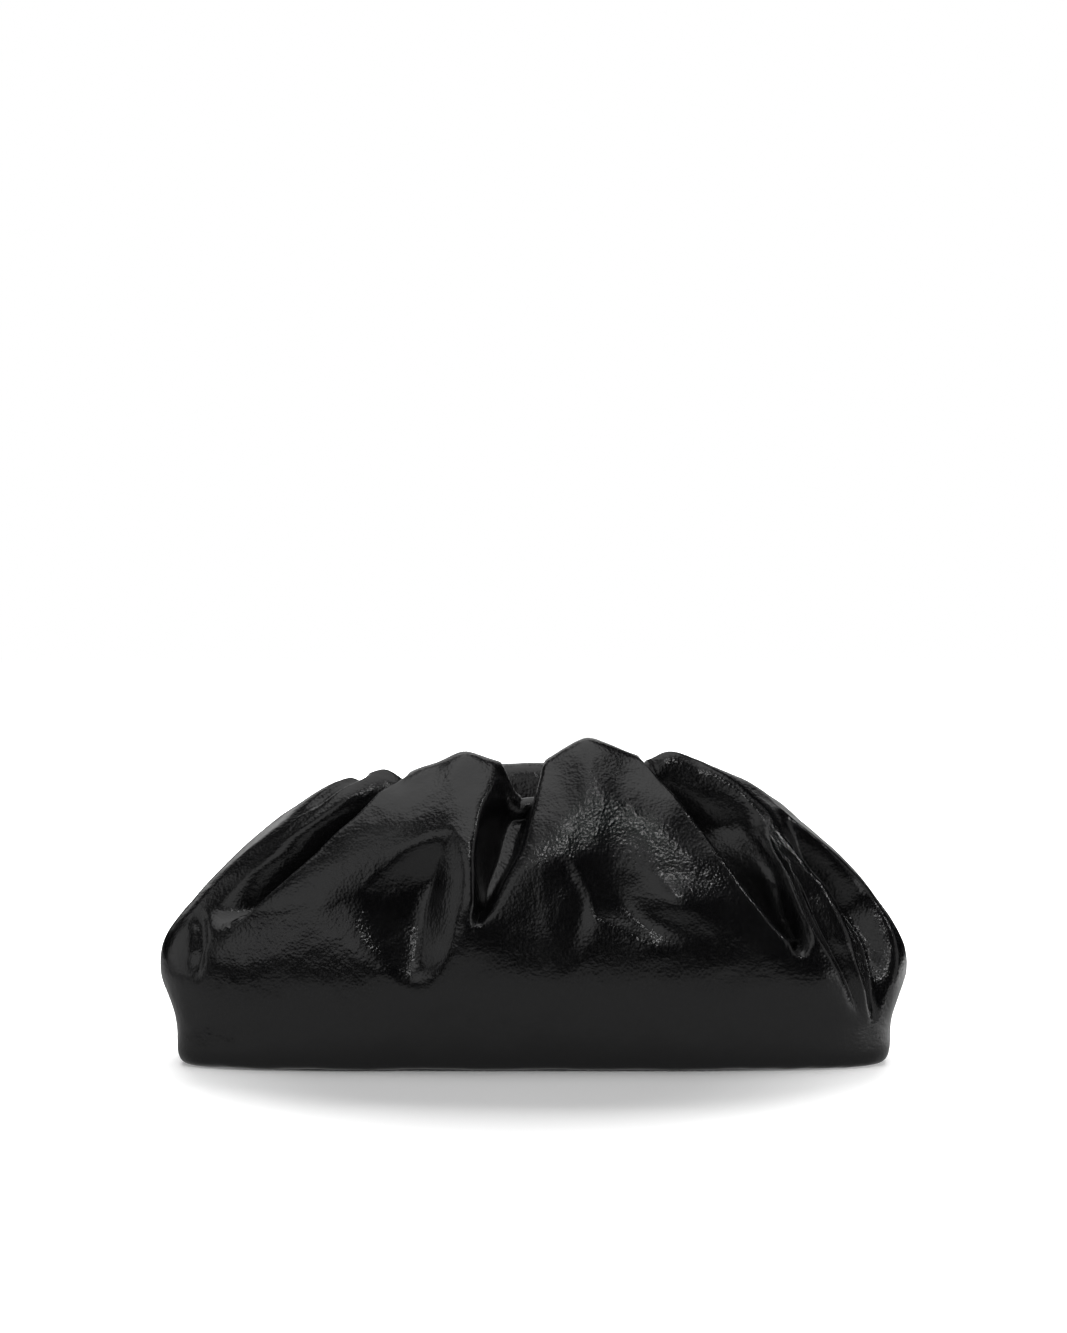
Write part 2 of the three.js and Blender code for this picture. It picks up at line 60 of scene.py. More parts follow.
# The seams at the two ends: depth and reach of the dip, and the share of the wall where folds fade out.
SEAM_DIP = 1.2
SEAM_DIP_REACH = 2.5
SEAM_SHARE = 0.03
# Power of the arch that the crest makes along the bag.
ARCH = 2.7

# Fineness of the meshes
FRONT_COLUMNS = 330
BACK_COLUMNS = 300
RING_STEPS = 400
BASE_OUTLINE_STEPS = 240
BASE_EDGE_STEPS = 5
# The climb below a fold in which its columns spread out, and the least share of its width a column keeps.
GUIDE_RELAX = 30.0
NARROWEST = 0.25
# Steps that find directions on the wall, and limits for powers and divisions.
PROBE = 0.01
LEAN_STEP = 1.0
FARTHEST_OUT = 3.0
TINY = 1e-6

# Rings of the unfolded wall, from the hem under the base over the crest and down into the mouth.
# rows is how many rows of faces reach the next ring.
RING = "name half_length half_depth z_mid z_end squareness rows".split()
RINGS = [
    ("hem under", 130.0, 33.0, 0.0, 0.0, 5.0, 5),
    ("hem turn", 138.5, 41.0, 0.5, 0.5, 5.0, 6),
    ("hem edge", 141.8, 44.0, 4.5, 4.5, 5.0, 8),
    ("low wall", 143.5, 47.5, 19.0, 17.5, 4.0, 11),
    ("belly", 149.6, 51.0, 38.0, 36.0, 3.2, 16),
    ("middle", 147.2, 49.0, 59.0, 50.0, 2.8, 20),
    ("shoulder", 136.5, 42.0, 82.0, 64.5, 2.6, 20),
    ("upper", 121.5, 32.5, 103.0, 80.5, 2.5, 16),
    ("brow", 108.8, 23.0, 116.0, 92.0, 2.5, 12),
    ("crest", 100.5, 14.5, 122.5, 98.5, 2.5, 10),
    ("lip", 95.0, 8.0, 118.5, 99.0, 2.5, 6),
    ("throat", 92.0, 5.0, 106.0, 96.0, 2.5, 5),
    ("rim", 91.0, 4.0, 89.5, 88.5, 2.5, 0),
]
RING_NAMES = [ring[0] for ring in RINGS]
LAST = len(RINGS) - 1
CREST = RING_NAMES.index("crest")
UPPER = RING_NAMES.index("upper")
SWELL_FROM = RING_NAMES.index("shoulder") + 0.2
DROP_FROM = RING_NAMES.index("middle")

# How much of a fold's depth is left past the crest: ring number, share.
HOLD = [(0, 1), (CREST, 1), (CREST + 1, 0.85), (CREST + 2, 0.35), (CREST + 3, 0)]

# A fold's style: rounding of its closed end and of its top (0 runs into the mouth), then for the left
# and right side the rounding of the edge, the steepness, the softness and the overhang of the edge.
STYLE = "name round_end round_top edge_l edge_r steep_l steep_r soft_l soft_r lip_l lip_r".split()
# A fold's sections run from its closed end upward: height on the wall, x, reach to the left and
# right edge, depth, and how far the leather outside each edge is raised (negative rounds down to it).
SECTION = "z x left right depth rim_l rim_r".split()

FRONT_FOLDS = [
    (("end crease", 8, 10, 0.1, 0.1, 2, 1.6, 0.9, 0, 0, 0), [
        (34, -132.5, 6, 2.5, 0.5, 0, 0.3),
        (43, -130.5, 8, 2.5, 1.8, 0, 0.9),
        (51, -130.5, 8, 2.5, 2, 0, 0.9),
        (62, -133, 6, 2.5, 0.6, 0, 0.3),
    ]),
    (("left", 10, 0, 0.22, 0.08, 1.3, 3, 0.1, 0, 0, 4.5), [
        (54, -120.5, 5, 3.5, 0.5, 0, 0.3),
        (58, -115.5, 9, 3.5, 3, 0, 1),
        (62, -111, 12, 3.8, 6.5, 0, 1.8),
        (66, -106.5, 14.5, 4, 10, 0, 2),
        (70, -102, 16, 4, 12.5, 0, 2),
        (76, -95.5, 17, 4, 14, 0, 2),
        (84, -87, 16.5, 4, 14, 0, 1.5),
        (92, -79, 15, 4, 12.5, 0, 1),
        (100, -70, 12.5, 4.5, 10, 0, 0),
        (114, -51, 9, 5, 5.5, -1, -1.5),
    ]),
    (("left small", 14, 0, 0.1, 0.1, 2, 2, 0.7, 0.3, 0, 1), [
        (98, -93, 6, 4, 1.2, 0, 0),
        (112, -69, 5, 4, 2.5, -0.5, -0.5),
    ]),
    (("middle", 7, 0, 0.08, 0.08, 1.4, 7, 0, 0, 2, 3), [
        (58, -22.5, 4, 5, 6, 3, 1.5),
        (66, -21, 4.5, 8, 9, 4, 1.5),
        (76, -18.5, 7, 10, 12, 4, 1.5),
        (89, -14.5, 10.5, 13, 14, 3.5, 1),
        (100, -12, 11, 13, 15, 1.5, 0),
        (109, -9, 10.5, 12, 15.5, 0, -1),
        (117, -5, 10, 11, 16, -1, -3),
    ]),
    (("flank left", 14, 12, 0.25, 0.08, 1.15, 1.1, 0.5, 0, 0, 0), [
        (30, -45, 7, 5, 0.3, 0, 0),
        (38, -44.7, 11, 8, 2.4, 0, 0),
        (48, -44.2, 21, 12, 6, 0, 0),
        (58, -43.5, 29, 13, 8.5, 0, 0),
        (67, -42.3, 32, 13, 9, 0, 0),
        (77, -40, 25, 11, 8.5, 0, 0),
        (87, -37, 16, 7, 4.5, 0, 0),
        (95, -34, 9, 4, 1.2, 0, 0),
    ]),
    (("dent", 10, 10, 0.06, 0.1, 1.1, 2, 0, 1, 0, 0), [
        (36, 8, 3, 6, 0.2, 0, 0),
        (46, 12, 6.5, 11, 0.4, 0, 0),
        (56, 16.5, 11.5, 9, 0.8, 0, 0),
        (63, 19, 14, 5, 1.3, 0, 0),
        (71, 17.5, 12.5, 5, 1.3, 0, 0),
        (78, 14, 9, 4, 0.9, 0, 0),
        (86, 10, 5, 3, 0.2, 0, 0),
    ]),
    (("slanting dent", 10, 10, 0.08, 0.1, 1.1, 2, 0.1, 1, 0, 0), [
        (45, 52, 4, 14, 0.2, 0, 0),
        (51, 48.5, 6, 18, 0.9, 0, 0),
        (57, 44, 9, 20, 2.2, 0, 0),
        (63, 38.5, 12.5, 22, 2.9, 0, 0),
        (72, 31, 9.5, 20, 2.2, 0, 0),
        (80, 24, 6, 16, 0.9, 0, 0),
        (87, 19, 4, 12, 0.2, 0, 0),
    ]),
    (("bulge", 18, 18, 0.1, 0.1, 2, 2, 1, 1, 0, 0), [
        (48, 61, 18, 18, -0.5, 0, 0),
        (64, 57, 20, 20, -2, 0, 0),
        (82, 50, 16, 18, -0.5, 0, 0),
    ]),
    (("right", 7, 0, 0.08, 0.12, 3, 1.8, 0, 0.1, 5.5, 1), [
        (45, 103.5, 4.5, 4, 6, 2, 1.5),
        (52, 99, 5, 8, 9, 2, 2),
        (61, 91.5, 5.5, 12, 11, 2, 2),
        (70, 84.5, 6, 15, 12, 2, 2),
        (82, 76, 6, 17.5, 13, 1.5, 2.5),
        (92, 69, 6, 21, 14, 0.5, 2.5),
        (107, 57, 7, 27, 15, -1, 2),
        (119, 45, 8, 20, 4.5, -2, 0),
    ]),
    (("right mid", 10, 16, 0.1, 0.1, 2.4, 1.3, 0, 0.3, 1, 0), [
        (20, 127.5, 2.5, 4, 0.8, 0, 0),
        (34.5, 123, 3, 6, 2.6, 0.4, 0),
        (45, 118.2, 3.5, 8, 3.4, 0.4, 0),
        (56.5, 112.3, 4, 9, 3.2, 0.3, 0),
        (73.5, 104.5, 4, 8, 2.4, 0, 0),
        (85, 98, 4, 7, 1.6, 0, 0),
        (93, 94, 3, 5, 0.5, 0, 0),
    ]),
    (("right end", 12, 16, 0.1, 0.12, 1.5, 1.6, 0.2, 0.5, 0, 0), [
        (17, 133, 3, 4, 1, 0, 0),
        (22, 135, 5, 6, 3, 0.5, 0),
        (33, 137, 9, 9, 6, 1, 0),
        (41, 137.7, 13, 11, 8, 1, 0),
        (50, 137, 16, 11, 9, 1, 0.5),
        (58, 134.3, 17, 10, 9, 1, 1),
        (67, 128.9, 16, 8.5, 9, 1, 1.5),
        (76, 120, 13, 7, 8, 0.5, 2),
        (85, 111, 11, 6, 6, 0, 2),
        (92, 104, 8, 5, 3.5, 0, 1.5),
        (98, 97.5, 6, 4, 1.5, 0, 1),
    ]),
]
# Small creases that only the looks have.
FRONT_CREASES = [
    (("right inner", 12, 14, 0.1, 0.1, 1.6, 2, 0.6, 0.2, 0, 0.5), [
        (52, 104.8, 2.2, 2, 0.8, 0, 0.3),
        (62, 101.5, 3, 2.5, 1.8, 0, 0.6),
        (75, 97, 3.5, 2.5, 2.2, 0, 0.6),
        (88, 90, 3, 2.5, 1.6, 0, 0.3),
        (98, 85, 2.5, 2, 0.6, 0, 0),
    ]),
]

BACK_FOLDS = [
    (("left", 12, 0, 0.08, 0.12, 3, 1.7, 0, 0.5, 5, 1), [
        (52, -106, 10, 8, 8, 1.5, 0),
        (75, -88, 11, 16, 11, 1, 0),
        (97, -68, 11, 14, 10, 0, 0),
        (112, -54, 10, 9, 5, -1, -1),
    ]),
    (("middle left", 12, 0, 0.1, 0.1, 2, 3, 0.4, 0, 1, 4), [
        (74, -40, 9, 9, 7, 0, 1.5),
        (95, -32, 9, 9, 9, 0, 1),
        (110, -24, 8, 8, 9, -1, -1),
    ]),
    (("middle", 10, 0, 0.08, 0.08, 2.4, 2.8, 0.1, 0, 4, 4), [
        (56, 20, 12, 11, 8, 2, 2),
        (78, 20, 18, 14, 12, 2, 2),
        (100, 18, 15, 13, 14, 0, 0),
        (112, 16, 10, 10, 12, -1, -1),
    ]),
    (("right", 12, 0, 0.12, 0.08, 1.7, 3, 0.5, 0, 0, 5), [
        (60, 96, 8, 10, 8, 0, 1.5),
        (82, 78, 16, 11, 11, 0, 1),
        (98, 62, 14, 11, 9, 0, 0),
        (112, 48, 8, 9, 4, -1, -1),
    ]),
    (("right end", 16, 0, 0.1, 0.1, 1.8, 2, 0.8, 0.4, 0, 1), [
        (36, 128, 8, 8, 5, 0, 0.5),
        (68, 113, 10, 7, 6, 0, 1.5),
        (102, 82, 6, 5, 3, 0, 1),
    ]),
]

# How far the crest swells up or sags along the bag: x, rise.
FRONT_SWELL = [
    (-101, 0), (-84, 1.5), (-76, 2.5), (-68, 1.5), (-58, 2), (-48, -2), (-40, -0.5), (-27, 3), (-17, -1),
    (0, 0), (8, 2.5), (14, 6.5), (21, 8.5), (27, 7.5), (36, 4.5), (44, 5), (53, 9), (66, 5.5), (82, 5),
    (92, 4), (101, 2.5),
]
BACK_SWELL = [
    (-101, 0), (-60, 0), (-44, 3.5), (-32, 1), (-20, 2), (-9, 3), (0, 3), (15, 2), (28, 4), (35, 9), (42, 4),
    (50, 2), (65, 4), (80, 1), (101, 0),
]

# Columns of faces that run along a fold: fold, -1 its left edge, 0 its floor or 1 its right edge, and
# the share of the columns.
FRONT_GUIDES = [
    ("left", 0, 0.17), ("left", 1, 0.21), ("flank left", 0, 0.36), ("middle", -1, 0.41), ("middle", 0, 0.46),
    ("middle", 1, 0.51), ("right", -1, 0.68), ("right", 0, 0.71), ("right", 1, 0.77), ("right mid", 0, 0.8),
    ("right end", -1, 0.84), ("right end", 0, 0.9),
]
BACK_GUIDES = [
    ("left", -1, 0.15), ("left", 0, 0.22), ("middle", -1, 0.46), ("middle", 0, 0.52), ("middle", 1, 0.59),
    ("right", 0, 0.78), ("right", 1, 0.85),
]

# Ripples of the leather between the folds: length from crest to crest, height, number of waves, and the
# shares of the length between which the waves differ.
RIPPLES = [(40, 0.2, 12), (16, 0.05, 16), (7, 0.02, 20)]
RIPPLE_SPREAD = (0.75, 1.35)

FRONT = {
    "side": -1, "folds": FRONT_FOLDS, "creases": FRONT_CREASES, "swell": FRONT_SWELL, "crest_drop": 0.0,
    "guides": FRONT_GUIDES, "columns": FRONT_COLUMNS, "seed": 4,
}
BACK = {
    "side": 1, "folds": BACK_FOLDS, "creases": [], "swell": BACK_SWELL, "crest_drop": 7.0,
    "guides": BACK_GUIDES, "columns": BACK_COLUMNS, "seed": 9,
}


# Curves and fields

def smooth(x):
    x = np.clip(x, 0, 1)
    return x * x * (3 - 2 * x)


def ramp(x, rounding):
    """x where it is positive and 0 elsewhere, with the corner rounded."""
    return 0.5 * (x + np.hypot(x, rounding))


def gauss(x, reach):
    return np.exp(-(x / reach) ** 2)


def unit(vectors):
    return vectors / np.linalg.norm(vectors, axis=-1, keepdims=True)


def curve(stations, values, at):
    """A smooth curve through uneven stations, held at both ends."""
    xs = np.asarray(stations, float)
    ys = np.asarray(values, float)
    gap = np.diff(xs)
    secant = np.diff(ys) / gap
    inner = (secant[:-1] * gap[1:] + secant[1:] * gap[:-1]) / (gap[:-1] + gap[1:])
    slope = np.concatenate([secant[:1], inner, secant[-1:]])
    x = np.clip(at, xs[0], xs[-1])
    i = np.clip(np.searchsorted(xs, x) - 1, 0, len(xs) - 2)
    span = gap[i]
    t = (x - xs[i]) / span
    rest = 1 - t
    return ((1 + 2 * t) * rest * rest * ys[i] + t * rest * rest * span * slope[i]
            + t * t * (3 - 2 * t) * ys[i + 1] - t * t * rest * span * slope[i + 1])


def ring_size(name, v):
    column = RING.index(name)
    return curve(range(len(RINGS)), [ring[column] for ring in RINGS], v)


def ripples(across, climbed, seed):
    """Low random waves over the leather, from its places across and up the wall."""
    random = np.random.default_rng(seed)
    total = np.zeros_like(across)
    for length, height, count in RIPPLES:
        waves = np.zeros_like(across)
        for _ in range(count):
            turn, phase = random.uniform(0, 2 * np.pi, 2)
            pace = 2 * np.pi / (length * random.uniform(*RIPPLE_SPREAD))
            waves += np.sin(pace * (np.cos(turn) * across + np.sin(turn) * climbed) + phase)
        total += height * waves / math.sqrt(count / 2)
    return total


# The unfolded wall

class Wall:
    """Half rings of the unfolded wall at the ring numbers v."""

    def __init__(self, v, crest_drop):
        self.v = v
        self.half_length = ring_size("half_length", v)
        half_depth = ring_size("half_depth", v)
        z_end = ring_size("z_end", v)
        power = 2 / ring_size("squareness", v)
        falling = smooth((v - DROP_FROM) / (CREST - DROP_FROM)) * (1 - smooth((v - CREST) / (LAST - CREST)))
        rise = ring_size("z_mid", v) - z_end - crest_drop * falling
        turn = np.pi * (1 - np.linspace(0, 1, RING_STEPS + 1))
        cos = np.cos(turn)
        sin = np.abs(np.sin(turn))
        sin[[0, -1]] = 0
        x = self.half_length[:, None] * np.sign(cos) * np.abs(cos) ** power[:, None]
        y = -half_depth[:, None] * sin ** power[:, None]
        z = z_end[:, None] + rise[:, None] * (1 - np.abs(x / self.half_length[:, None]) ** ARCH)
        self.points = np.stack([x, y, z], -1)
        steps = np.linalg.norm(np.diff(self.points, axis=1), axis=2)
        runs = np.concatenate([np.zeros((len(v), 1)), np.cumsum(steps, axis=1)], axis=1)
        self.length = runs[:, -1]
        self.shares = runs / self.length[:, None]
        middle = self.at(np.full((len(v), 1), 0.5))[:, 0]
        self.climbed = np.concatenate([[0], np.cumsum(np.linalg.norm(np.diff(middle, axis=0), axis=1))])

    def at(self, share):
        """Points at shares (rows, columns) of the way from the left end to the right."""
        out = np.empty(share.shape + (3,))
        for j in range(len(self.v)):
            for k in range(3):
                out[j, :, k] = np.interp(share[j], self.shares[j], self.points[j, :, k])
        return out

    def share_at_x(self, x):
        return np.array([np.interp(x[j], self.points[j, :, 0], self.shares[j]) for j in range(len(self.v))])

    def climb_at(self, x, z):
        """Distance climbed where the wall at x stands at height z, below the crest."""
        low = self.v <= CREST + TINY
        share = self.share_at_x(np.full(len(self.v), x))
        height = self.at(share[:, None])[low, 0, 2]
        return np.interp(z, np.maximum.accumulate(height), self.climbed[low])


def row_numbers():
    rows = [i + k / ring[-1] for i, ring in enumerate(RINGS) for k in range(ring[-1])]
    return np.array(rows + [LAST], float)


# Folds

class Fold:
    """A fold of the wall, its sections placed by the distance climbed."""

    def __init__(self, wall, style, sections):
        self.wall = wall
        self.style = dict(zip(STYLE, style))
        self.sections = {name: [row[k] for row in sections] for k, name in enumerate(SECTION)}
        self.to_mouth = self.style["round_top"] == 0
        self.climbs = [wall.climb_at(x, z) for x, z in zip(self.sections["x"], self.sections["z"])]
        if self.to_mouth:
            self.climbs[-1] = np.interp(CREST, wall.v, wall.climbed)
        past = wall.v > CREST
        narrowing = np.where(past, wall.half_length / RINGS[CREST][1], 1)
        ahead = self.path_x(wall.climbed + LEAN_STEP)
        behind = self.path_x(wall.climbed - LEAN_STEP)
        lean = (ahead - behind) / (2 * LEAN_STEP)
        self.centre = wall.share_at_x(self.path_x(wall.climbed) * narrowing)
        self.span = wall.length / np.hypot(1, np.where(past, 0, lean))

    def read(self, name, climbed):
        return curve(self.climbs, self.sections[name], climbed)

    def path_x(self, climbed):
        x = self.sections["x"]
        start = (x[1] - x[0]) / (self.climbs[1] - self.climbs[0])
        return self.read("x", climbed) + start * np.minimum(0, climbed - self.climbs[0])

    def shift(self, share):
        """Depth pressed in, and the shift of the overhanging edge across and up the wall."""
        style = self.style
        climbed = self.wall.climbed[:, None]
        aside = (share - self.centre[:, None]) * self.span[:, None]
        left = self.read("left", climbed)
        right = self.read("right", climbed)
        reach = np.where(aside > 0, right, left)
        end_part = np.maximum(0, 1 - (climbed - self.climbs[0]) / style["round_end"])
        top_part = np.zeros_like(climbed)
        if not self.to_mouth:
            top_part = np.maximum(0, 1 - (self.climbs[-1] - climbed) / style["round_top"])
        out = np.hypot(aside / reach, np.maximum(end_part, top_part))
        right_part = smooth(0.5 + 0.5 * aside / reach / (out + TINY))

        def mix(name):
            return style[name + "_l"] * (1 - right_part) + style[name + "_r"] * right_part

        steep = mix("steep")
        hard = ramp(1 - np.minimum(out, FARTHEST_OUT) ** steep, mix("edge") * steep)
        hard = hard / ramp(1, style["edge_l"])
        soft = 0.5 * (1 + np.cos(np.pi * np.minimum(out, 1)))
        pressed = self.read("depth", climbed) * (hard + (soft - hard) * mix("soft"))

        away = (out - 1) * (left * (1 - right_part) + right * right_part)
        rim = self.read("rim_l", climbed) * (1 - right_part) + self.read("rim_r", climbed) * right_part
        raised = rim * gauss(away, np.where(away > 0, RIM_REACH_OUT, RIM_REACH_IN))

        slope_across = aside / reach ** 2
        slope_up = top_part / (style["round_top"] or 1) - end_part / style["round_end"]
        lip = mix("lip") * (1 - LIP_END_FADE * np.minimum(end_part, 1)) * gauss(away, LIP_REACH)
        overhang = lip / (np.hypot(slope_across, slope_up) + TINY)
        return pressed - raised, -overhang * slope_across, -overhang * slope_up


def column_shares(wall, guides, folds, columns):
    """Shares of the columns in each row: guided columns follow their folds and spread out below them."""
    by_name = {fold.style["name"]: fold for fold in folds}
    stations = [0.0]
    shares = [np.zeros(len(wall.v))]
    for name, at, station in guides:
        fold = by_name[name]
        reach = fold.read("left" if at < 0 else "right", wall.climbed)
        below = smooth((fold.climbs[0] - wall.climbed) / GUIDE_RELAX)
        share = (fold.centre + at * reach / fold.span) * (1 - below) + station * below
        shares.append(np.maximum(share, shares[-1] + NARROWEST * (station - stations[-1])))
        stations.append(station)
    stations.append(1.0)
    shares.append(np.ones(len(wall.v)))
    shares = np.array(shares)
    even = np.linspace(0, 1, columns + 1)
    return np.array([np.interp(even, stations, shares[:, j]) for j in range(len(wall.v))])


def grid_normals(grid):
    """Outward normals of a grid of points. Along the hem they point straight down."""
    across = np.gradient(grid, axis=1)
    climb = np.gradient(grid, axis=0)
    normals = np.cross(across, climb)
    normals[0] = (0, 0, -1)
    return unit(normals)


def folded_grid(panel):
    """The folded leather as rows of points, front side, before it is turned to its own side."""
    wall = Wall(row_numbers(), panel["crest_drop"])
    folds = [Fold(wall, *fold) for fold in panel["folds"] + panel["creases"]]
    share = column_shares(wall, panel["guides"], folds, panel["columns"])
    points = wall.at(share)
    across = unit(wall.at(np.minimum(share + PROBE, 1)) - wall.at(np.maximum(share - PROBE, 0)))
    higher = Wall(np.minimum(wall.v + PROBE, LAST), panel["crest_drop"])
    lower = Wall(np.maximum(wall.v - PROBE, 0), panel["crest_drop"])
    climb = unit(higher.at(share) - lower.at(share))
    inward = unit(np.cross(climb, across))
    climb = np.cross(across, inward)
    over = smooth((wall.v - UPPER) / (CREST - UPPER))[:, None, None]
    down = np.array([0, 0, -1.0])
    inward = unit(inward * (1 - over) + down * over)

    hold = curve(*zip(*HOLD), wall.v)[:, None]
    free = hold * smooth(np.minimum(share, 1 - share) / SEAM_SHARE)
    swelling = smooth((wall.v - SWELL_FROM) / (CREST - SWELL_FROM))[:, None]
    points = points - (free * swelling * curve(*zip(*panel["swell"]), points[..., 0]))[..., None] * down
    for fold in folds:
        depth, sideways, up = fold.shift(share)
        moved = depth[..., None] * inward + sideways[..., None] * across + up[..., None] * climb
        points = points + free[..., None] * moved

    from_seam = np.minimum(share, 1 - share) * wall.length[:, None]
    waves = ripples((share - 0.5) * wall.length.max(), wall.climbed[:, None] + 0 * share, panel["seed"])
    rolled = free * smooth(wall.v[:, None]) * waves - SEAM_DIP * gauss(from_seam, SEAM_DIP_REACH)
    points = points + rolled[..., None] * grid_normals(points)
    points[..., 1] = np.minimum(points[..., 1], 0)
    points[..., 2] = np.maximum(points[..., 2], 0)
    return points


# Meshes

def add_object(name, data):
    thing = bpy.data.objects.new(name, data)
    bpy.context.scene.collection.objects.link(thing)
    return thing


def mesh_object(name, points, faces, material, rounded):
    """An object from points in millimetres. A rounded one is shaded smooth."""
    mesh = bpy.data.meshes.new(name)
    mesh.from_pydata((np.asarray(points) * MM).tolist(), [], faces)
    mesh.polygons.foreach_set("use_smooth", [rounded] * len(mesh.polygons))
    mesh.materials.append(material)
    return add_object(name, mesh)


def leather_panel(name, panel, material):
    """A closed leather sheet: the folded grid, the same grid one thickness inside, and the edges between."""
    outer = folded_grid(panel)
    inner = outer - LEATHER * grid_normals(outer)
    rows, columns = outer.shape[:2]
    outside = np.arange(rows * columns).reshape(rows, columns)
    inside = outside + rows * columns

    def strip(a, b):
        return np.stack([a[:-1], a[1:], b[1:], b[:-1]], -1)

    faces = [strip(outside[j], outside[j + 1]) for j in range(rows - 1)]
    faces += [strip(inside[j + 1], inside[j]) for j in range(rows - 1)]
    faces += [strip(inside[0], outside[0]), strip(outside[-1], inside[-1])]
    faces += [strip(outside[:, 0], inside[:, 0]), strip(inside[:, -1], outside[:, -1])]
    faces = np.concatenate(faces)
    points = np.concatenate([outer.reshape(-1, 3), inner.reshape(-1, 3)])
    points[:, 2] = np.maximum(points[:, 2], 0)
    if panel["side"] > 0:
        points[:, 1] *= -1
        faces = faces[:, ::-1]
    return mesh_object(name, points, faces.tolist(), material, rounded=True)


# Materials, with the values of their nodes by socket. Scales are counted for each metre.
LEATHER_LOOK = {"Base Color": (0.003, 0.003, 0.0033, 1), "Coat Weight": 0.35, "Coat Roughness": 0.1}
GRAIN_CELLS = {"Scale": 900, "Smoothness": 0.6}
GRAIN_CREASES = {"Scale": 420, "Detail": 3, "Roughness": 0.6}
CELLS_IN_GRAIN = 0.6
GRAIN_RELIEF = {"Strength": 0.7, "Distance": 0.0002}
GLOSS_PATCHES = {"Scale": 60, "Detail": 2}
GLOSS_RANGE = {"From Min": 0.3, "From Max": 0.7, "To Min": 0.18, "To Max": 0.26}

METAL_LOOK = {"Base Color": (0.55, 0.55, 0.56, 1), "Metallic": 1}
BRUSH_STRETCH = {"Scale": (20, 900, 900)}
BRUSH_LINES = {"Scale": 1, "Detail": 3}
BRUSH_GLOSS = {"To Min": 0.28, "To Max": 0.5}

# The floor's emission colour is the colour of its painted glow, which grows away from the bag.
FLOOR_LOOK = {
    "Base Color": (0.86, 0.86, 0.86, 1), "Roughness": 0.9, "Specular IOR Level": 0,
    "Emission Color": (1, 1, 1, 1),
}


def new_material(name):
    material = bpy.data.materials.new(name)
    material.use_nodes = True
    return material, material.node_tree.nodes, material.node_tree.links


def set_values(node, values):
    for socket, value in values.items():
        node.inputs[socket].default_value = value
    return node


def leather_material():
    """Black leather with a clear gloss, and a fine crinkled grain that breaks up the highlights."""
    material, nodes, links = new_material("glossy_black_leather")
    shader = set_values(nodes["Principled BSDF"], LEATHER_LOOK)
    place = nodes.new("ShaderNodeTexCoord").outputs["Object"]

    cells = nodes.new("ShaderNodeTexVoronoi")
    cells.feature = "SMOOTH_F1"
    set_values(cells, GRAIN_CELLS)
    links.new(place, cells.inputs["Vector"])
    creases = set_values(nodes.new("ShaderNodeTexNoise"), GRAIN_CREASES)
    links.new(place, creases.inputs["Vector"])
    height = nodes.new("ShaderNodeMath")
    height.operation = "MULTIPLY_ADD"
    height.inputs[1].default_value = CELLS_IN_GRAIN
    links.new(cells.outputs["Distance"], height.inputs[0])
    links.new(creases.outputs["Fac"], height.inputs[2])
    grain = set_values(nodes.new("ShaderNodeBump"), GRAIN_RELIEF)
    links.new(height.outputs["Value"], grain.inputs["Height"])
    links.new(grain.outputs["Normal"], shader.inputs["Normal"])
    links.new(grain.outputs["Normal"], shader.inputs["Coat Normal"])

    patches = set_values(nodes.new("ShaderNodeTexNoise"), GLOSS_PATCHES)
    links.new(place, patches.inputs["Vector"])
    gloss = set_values(nodes.new("ShaderNodeMapRange"), GLOSS_RANGE)
    links.new(patches.outputs["Fac"], gloss.inputs["Value"])
    links.new(gloss.outputs["Result"], shader.inputs["Roughness"])
    return material


def metal_material():
    """Satin steel, brushed along its length."""
    material, nodes, links = new_material("brushed_frame_metal")
    shader = set_values(nodes["Principled BSDF"], METAL_LOOK)
    place = set_values(nodes.new("ShaderNodeMapping"), BRUSH_STRETCH)
    links.new(nodes.new("ShaderNodeTexCoord").outputs["Object"], place.inputs["Vector"])
    lines = set_values(nodes.new("ShaderNodeTexNoise"), BRUSH_LINES)
    links.new(place.outputs["Vector"], lines.inputs["Vector"])
    gloss = set_values(nodes.new("ShaderNodeMapRange"), BRUSH_GLOSS)
    links.new(lines.outputs["Fac"], gloss.inputs["Value"])
    links.new(gloss.outputs["Result"], shader.inputs["Roughness"])
    return material


# The bag

def base_panel(name, material):
    """The flat base in the opening that the hem leaves, with rounded edges."""
    low, high = (np.array(corner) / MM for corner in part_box("base_panel"))
    thickness = high[2] - low[2]
    squareness = RINGS[0][RING.index("squareness")]
    turn = np.linspace(0, 2 * np.pi, BASE_OUTLINE_STEPS, endpoint=False)
    circle = np.stack([np.cos(turn), np.sin(turn)], -1)
    outline = np.sign(circle) * np.abs(circle) ** (2 / squareness)
    quarter = np.linspace(0, np.pi / 2, BASE_EDGE_STEPS)
    rims = [(BASE_EDGE * (1 - np.sin(q)), BASE_EDGE * (1 - np.cos(q))) for q in quarter]
    rims += [(inset, thickness - z) for inset, z in reversed(rims)]
    half = (high[:2] - low[:2]) / 2
    count = len(turn)
    loops = [np.column_stack([outline * (half - inset), np.full(count, low[2] + z)]) for inset, z in rims]
    numbers = np.arange(len(loops) * count).reshape(len(loops), count)
    faces = [tuple(numbers[0][::-1]), tuple(numbers[-1])]
    for a, b in zip(numbers[:-1], numbers[1:]):
        faces += list(zip(a, np.roll(a, -1), np.roll(b, -1), b))
    faces = [[int(k) for k in face] for face in faces]
    return mesh_object(name, np.concatenate(loops), faces, material, rounded=False)


